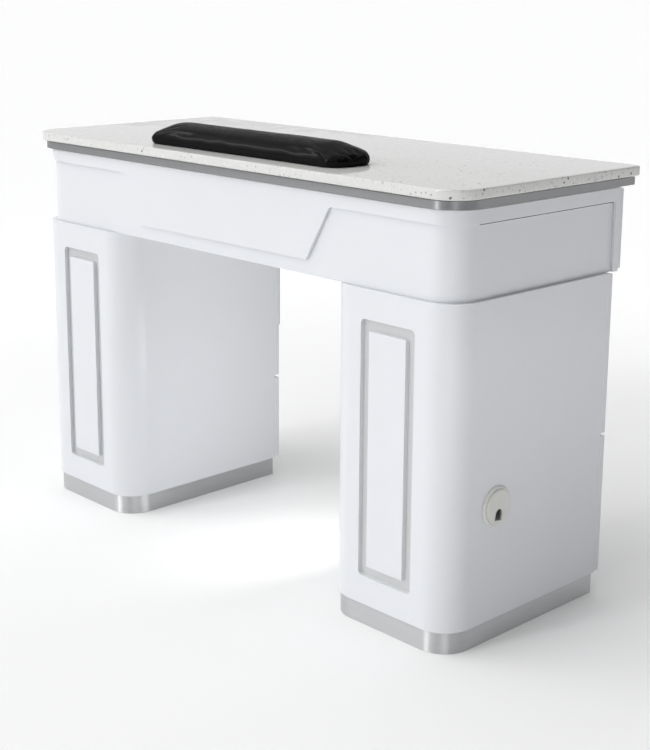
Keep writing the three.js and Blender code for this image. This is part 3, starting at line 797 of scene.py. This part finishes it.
# ---- screws and catches ----
SCREW_SIDES = 20
RECESS = (0.13, 0.46)          # half width and half length of the cross, in shares of the radius
RECESS_FLOOR = 0.12 * MM       # above the foot of the head
RECESS_PAST = 2 * MM           # how high the cut for it goes
RECESS_NARROWING = 0.7         # size of its floor, in shares of its mouth
HINGE_LEAF = 1.5 * MM          # thickness
PULL_HALF = 64 * MM            # half the distance between a pull's posts
BOX_WALL = 12 * MM             # drawer box walls
HEAD_TURN = (0.7, 5.0)         # radians from one screw to the next, and per metre of height
LEAF_SPACING = 23 * MM         # between the three screws of a hinge leaf
LEAF_FRAME_EDGE = 9.5 * MM     # the screws' distance from the frame leaf's edge
LEAF_DOOR_EDGE = 4.2 * MM      # the same for the door leaf
FRONT_SIDES = 32 * MM          # the drawer front's own screws, from the box's sides,
FRONT_FOOT = 24 * MM           # from its foot
FRONT_TOP = 20 * MM            # and from its top

# The door catches: a plastic case, two buttons under it, two poles and a strike plate.
CATCH = Vector((44, 16, 14)) * MM
CATCH_EDGE = 1.6 * MM
CATCH_FROM_SIDE = 52 * MM      # from the door's side to the middle of the catch
CATCH_BEHIND = 1.6 * MM        # from the back of the door to the front of the case
CATCH_BELOW = 0.1 * MM         # under the board over the door
BUTTON_SIDES = 20
BUTTON = [(0, 0), (3.4 * MM, 0), (3.4 * MM, 1.2 * MM), (2.9 * MM, 1.6 * MM), (0, 1.6 * MM)]
BUTTON_ACROSS = 14 * MM
BUTTON_FORWARD = 1 * MM
POLE = Vector((34, 3, 1.8)) * MM
POLE_EDGE = 0.3 * MM
POLE_BEHIND = 0.9 * MM
POLE_UP = 3.4 * MM
PLATE = Vector((42, 1.0, 13)) * MM
PLATE_EDGE = 0.35 * MM
PLATE_BEHIND = 0.5 * MM        # from the back of the door to the middle of the plate
PLATE_SCREW = 0.6 * MM         # from the back of the door to the foot of its screw


def place(bm, mesh, matrix):
    """Adds a copy of a mesh to bm, moved by the matrix."""
    copy = mesh.copy()
    copy.transform(matrix)
    bm.from_mesh(copy)
    bpy.data.meshes.remove(copy)


def screw_head(radius):
    """A domed head with a cross recess, standing on z = 0."""
    dome = [
        (0, -0.4 * MM), (radius, -0.4 * MM), (radius, 0.1 * MM), (radius * 0.93, 0.35 * MM),
        (radius * 0.7, 0.62 * MM), (radius * 0.35, 0.78 * MM), (0, 0.82 * MM),
    ]
    half, reach = radius * RECESS[0], radius * RECESS[1]
    cross = [
        (half, half), (half, reach), (-half, reach), (-half, half),
        (-reach, half), (-reach, -half), (-half, -half), (-half, -reach),
        (half, -reach), (half, -half), (reach, -half), (reach, half),
    ]
    recess = prism(cross, RECESS_FLOOR, RECESS_PAST, RECESS_NARROWING)
    return cut(lathed(dome, SCREW_SIDES), recess)


HEAD_SMALL = screw_head(2.6 * MM)
HEAD_LARGE = screw_head(4.0 * MM)


def add_heads(bm, head, places, facing):
    """Sets a screw head at each place, facing a direction, each turned a little differently."""
    stand = Vector(facing).to_track_quat("Z", "Y").to_matrix().to_4x4()
    for i, at in enumerate(places):
        turn = Matrix.Rotation(HEAD_TURN[0] * i + HEAD_TURN[1] * at[2], 4, "Z")
        place(bm, head, Matrix.Translation(at) @ stand @ turn)


def flat_shaded(piece):
    for polygon in piece.data.polygons:
        polygon.use_smooth = False


def screws(name, bm, body):
    """Makes one flat-shaded piece of the screw heads in bm."""
    flat_shaded(new_piece(name, bm, FINISH["zinc_steel"], body))


def pull_screws(bm, pull, inner, post):
    """Adds the two heads behind a pull, post being the way from its middle to a post."""
    low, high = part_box(pull)
    middle = Vector(((low[0] + high[0]) / 2, inner, (low[2] + high[2]) / 2))
    add_heads(bm, HEAD_LARGE, [middle - post, middle + post], (0, -1, 0))


def leaf_screws(bm, leaf, half):
    """Adds the three heads of one leaf of a hinge."""
    low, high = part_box(leaf)
    y = low[1] + LEAF_FRAME_EDGE if half == "frame" else high[1] - LEAF_DOOR_EDGE
    middle = (low[2] + high[2]) / 2
    heights = (middle - LEAF_SPACING, middle, middle + LEAF_SPACING)
    add_heads(bm, HEAD_SMALL, [(high[0] - HINGE_LEAF, y, z) for z in heights], (-1, 0, 0))


def fittings():
    """Screws in the hinges, behind the pulls and through the drawer boxes' fronts."""
    for door in DOORS:
        for half, body in (("frame", "table"), ("door", door)):
            bm = bmesh.new()
            for end in ("lower", "upper"):
                leaf_screws(bm, f"{door}_{end}_hinge_{half}_leaf", half)
            screws(f"{door}_hinge_screws_{half}", bm, body)
        bm = bmesh.new()
        pull_screws(bm, f"{door}_pull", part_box(door)[0][1], Vector((0, 0, PULL_HALF)))
        screws(f"{door}_pull_screws", bm, door)
    for drawer in DRAWERS:
        low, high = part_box(f"{drawer}_box")
        inner = high[1] - BOX_WALL
        bm = bmesh.new()
        pull_screws(bm, f"{drawer}_pull", inner, Vector((PULL_HALF, 0, 0)))
        sides = (low[0] + FRONT_SIDES, high[0] - FRONT_SIDES)
        heights = (low[2] + FRONT_FOOT, high[2] - FRONT_TOP)
        corners = [(x, inner, z) for x in sides for z in heights]
        add_heads(bm, HEAD_SMALL, corners, (0, -1, 0))
        screws(f"{drawer}_screws", bm, drawer)


def catches():
    """A magnetic catch under the board over each door, and its strike plate on the door."""
    button, pole = lathed(BUTTON, BUTTON_SIDES), rounded_block(POLE, POLE_EDGE)
    upside_down = Matrix.Rotation(math.pi, 4, "X")
    for door, board in (("left_door", "apron_floor"), ("right_door", "right_middle_board")):
        low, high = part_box(door)
        x, back = high[0] - CATCH_FROM_SIDE, low[1]
        front = back - CATCH_BEHIND
        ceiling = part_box(board)[0][2]
        middle = Vector((x, front - CATCH.y / 2, ceiling - CATCH.z / 2 - CATCH_BELOW))

        case = bmesh.new()
        place(case, rounded_block(CATCH, CATCH_EDGE), Matrix.Translation(middle))
        for dx in (-BUTTON_ACROSS, BUTTON_ACROSS):
            foot = middle + Vector((dx, -BUTTON_FORWARD, -CATCH.z / 2))
            place(case, button, Matrix.Translation(foot) @ upside_down)
        new_piece(f"{door}_catch", case, FINISH["ivory_plastic"], "table")

        poles = bmesh.new()
        for dz in (-POLE_UP, POLE_UP):
            place(poles, pole, Matrix.Translation((x, front - POLE_BEHIND, middle.z + dz)))
        new_piece(f"{door}_catch_poles", poles, FINISH["zinc_steel"], "table")

        plate = bmesh.new()
        at = Matrix.Translation((x, back - PLATE_BEHIND, middle.z))
        place(plate, rounded_block(PLATE, PLATE_EDGE), at)
        add_heads(plate, HEAD_SMALL, [(x, back - PLATE_SCREW, middle.z)], (0, -1, 0))
        new_piece(f"{door}_strike_plate", plate, FINISH["zinc_steel"], door)


fittings()
catches()
